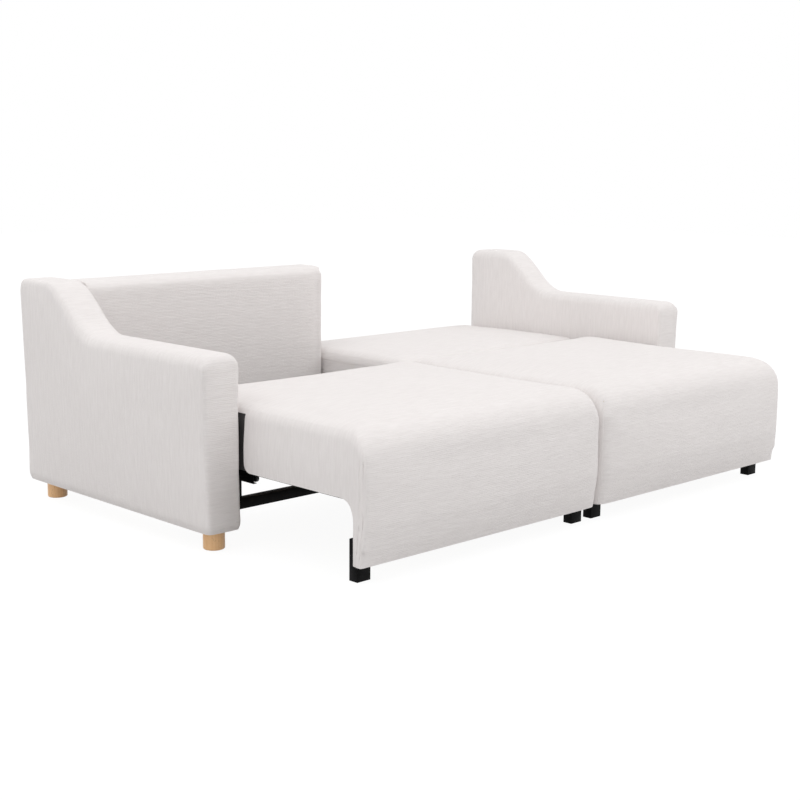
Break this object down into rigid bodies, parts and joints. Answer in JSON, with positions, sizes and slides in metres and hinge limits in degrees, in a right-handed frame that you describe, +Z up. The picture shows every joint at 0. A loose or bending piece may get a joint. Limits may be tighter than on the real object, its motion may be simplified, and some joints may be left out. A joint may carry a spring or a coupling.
{
  "type": "sleeper sofa with pull out bed",
  "caption": "Upholstered sofa bed with sloping arms, seats that roll forward on runners and backs that fold flat behind them, on wooden legs.",
  "frame": {"origin": "on the floor, at the centre of the opened sofa's footprint", "axes": "+X to the right as seen from the front, +Y to the rear, +Z up"},
  "size_m": [2.32, 1.54, 0.745],
  "materials": {
    "upholstery": "cream woven slub cloth, matte",
    "foam": "bare polyurethane foam",
    "timber": "sawn softwood and plywood",
    "beech": "clear satin lacquer",
    "black_steel": "black powder coat",
    "black_plastic": "moulded nylon",
    "zinc_steel": "zinc plated",
    "black_cloth": "stapled non-woven cloth"
  },
  "bodies": {
    "root": {"left_arm_cover": "upholstery", "left_arm_frame": "timber", "left_arm_base_panel": "timber", "left_front_leg": "beech", "left_rear_leg": "beech", "left_pivot_bracket": "black_steel", "right_arm_cover": "upholstery", "right_arm_frame": "timber", "right_arm_base_panel": "timber", "right_front_leg": "beech", "right_rear_leg": "beech", "right_pivot_bracket": "black_steel", "front_cross_bar": "black_steel", "rear_cross_bar": "black_steel", "centre_beam": "black_steel", "centre_pivot_plate": "black_steel", "centre_front_leg": "black_steel", "centre_rear_leg": "black_steel", "left_outer_fixed_rail": "black_steel", "left_inner_fixed_rail": "black_steel", "right_inner_fixed_rail": "black_steel", "right_outer_fixed_rail": "black_steel"},
    "left_seat": {"left_seat_cover": "upholstery", "left_seat_foam": "foam", "left_seat_frame": "timber", "left_outer_seat_runner": "black_steel", "left_inner_seat_runner": "black_steel", "left_outer_seat_foot": "black_steel", "left_inner_seat_foot": "black_steel"},
    "right_seat": {"right_seat_cover": "upholstery", "right_seat_foam": "foam", "right_seat_frame": "timber", "right_outer_seat_runner": "black_steel", "right_inner_seat_runner": "black_steel", "right_outer_seat_foot": "black_steel", "right_inner_seat_foot": "black_steel"},
    "left_back": {"left_back_cover": "upholstery", "left_back_foam": "foam", "left_back_frame": "timber", "left_back_dust_cover": "black_cloth", "left_back_outer_pivot_plate": "zinc_steel", "left_back_inner_pivot_plate": "zinc_steel"},
    "right_back": {"right_back_cover": "upholstery", "right_back_foam": "foam", "right_back_frame": "timber", "right_back_dust_cover": "black_cloth", "right_back_outer_pivot_plate": "zinc_steel", "right_back_inner_pivot_plate": "zinc_steel"},
    "centre_front_glide": {"centre_front_glide": "black_plastic"},
    "centre_rear_glide": {"centre_rear_glide": "black_plastic"},
    "left_outer_front_roller": {"left_outer_front_roller": "black_plastic"},
    "left_inner_front_roller": {"left_inner_front_roller": "black_plastic"},
    "right_inner_front_roller": {"right_inner_front_roller": "black_plastic"},
    "right_outer_front_roller": {"right_outer_front_roller": "black_plastic"},
    "left_outer_rear_roller": {"left_outer_rear_roller": "black_plastic"},
    "left_inner_rear_roller": {"left_inner_rear_roller": "black_plastic"},
    "right_inner_rear_roller": {"right_inner_rear_roller": "black_plastic"},
    "right_outer_rear_roller": {"right_outer_rear_roller": "black_plastic"}
  },
  "joints": [
    {"name": "left_seat_slide", "type": "slide", "parent": "root", "child": "left_seat", "axis": [0, 1, 0], "range_m": [-0.02, 0.449]},
    {"name": "left_back_fold", "type": "hinge", "parent": "root", "child": "left_back", "pos_m": [-0.514, 0.602, 0.266], "axis": [-1, 0, 0], "range_deg": [-90, 0]},
    {"name": "right_seat_slide", "type": "slide", "parent": "root", "child": "right_seat", "axis": [0, 1, 0], "range_m": [-0.02, 0]},
    {"name": "right_back_fold", "type": "hinge", "parent": "root", "child": "right_back", "pos_m": [0.514, 0.602, 0.266], "axis": [-1, 0, 0], "range_deg": [0, 90]},
    {"name": "centre_front_glide_adjust", "type": "slide", "parent": "root", "child": "centre_front_glide", "axis": [0, 0, 1], "range_m": [0, 0.01]},
    {"name": "centre_rear_glide_adjust", "type": "slide", "parent": "root", "child": "centre_rear_glide", "axis": [0, 0, 1], "range_m": [0, 0.01]},
    {"name": "left_outer_front_roller_spin", "type": "hinge", "parent": "root", "child": "left_outer_front_roller", "pos_m": [-0.9493, -0.207, 0.2003], "axis": [1, 0, 0], "continuous": true},
    {"name": "left_inner_front_roller_spin", "type": "hinge", "parent": "root", "child": "left_inner_front_roller", "pos_m": [-0.0787, -0.207, 0.2003], "axis": [1, 0, 0], "continuous": true},
    {"name": "right_inner_front_roller_spin", "type": "hinge", "parent": "root", "child": "right_inner_front_roller", "pos_m": [0.0787, -0.207, 0.2003], "axis": [1, 0, 0], "continuous": true},
    {"name": "right_outer_front_roller_spin", "type": "hinge", "parent": "root", "child": "right_outer_front_roller", "pos_m": [0.9493, -0.207, 0.2003], "axis": [1, 0, 0], "continuous": true},
    {"name": "left_outer_rear_roller_spin", "type": "hinge", "parent": "left_seat", "child": "left_outer_rear_roller", "pos_m": [-0.9595, 0.08, 0.2003], "axis": [1, 0, 0], "continuous": true},
    {"name": "left_inner_rear_roller_spin", "type": "hinge", "parent": "left_seat", "child": "left_inner_rear_roller", "pos_m": [-0.0685, 0.08, 0.2003], "axis": [1, 0, 0], "continuous": true},
    {"name": "right_inner_rear_roller_spin", "type": "hinge", "parent": "right_seat", "child": "right_inner_rear_roller", "pos_m": [0.0685, 0.08, 0.2003], "axis": [1, 0, 0], "continuous": true},
    {"name": "right_outer_rear_roller_spin", "type": "hinge", "parent": "right_seat", "child": "right_outer_rear_roller", "pos_m": [0.9595, 0.08, 0.2003], "axis": [1, 0, 0], "continuous": true}
  ],
  "couplings": [
    {"joint": "left_outer_front_roller_spin", "follows": "left_seat_slide", "rad_per_m": -83.333},
    {"joint": "left_inner_front_roller_spin", "follows": "left_seat_slide", "rad_per_m": -83.333},
    {"joint": "left_outer_rear_roller_spin", "follows": "left_seat_slide", "rad_per_m": -83.333},
    {"joint": "left_inner_rear_roller_spin", "follows": "left_seat_slide", "rad_per_m": -83.333},
    {"joint": "right_inner_front_roller_spin", "follows": "right_seat_slide", "rad_per_m": -83.333},
    {"joint": "right_outer_front_roller_spin", "follows": "right_seat_slide", "rad_per_m": -83.333},
    {"joint": "right_inner_rear_roller_spin", "follows": "right_seat_slide", "rad_per_m": -83.333},
    {"joint": "right_outer_rear_roller_spin", "follows": "right_seat_slide", "rad_per_m": -83.333}
  ]
}
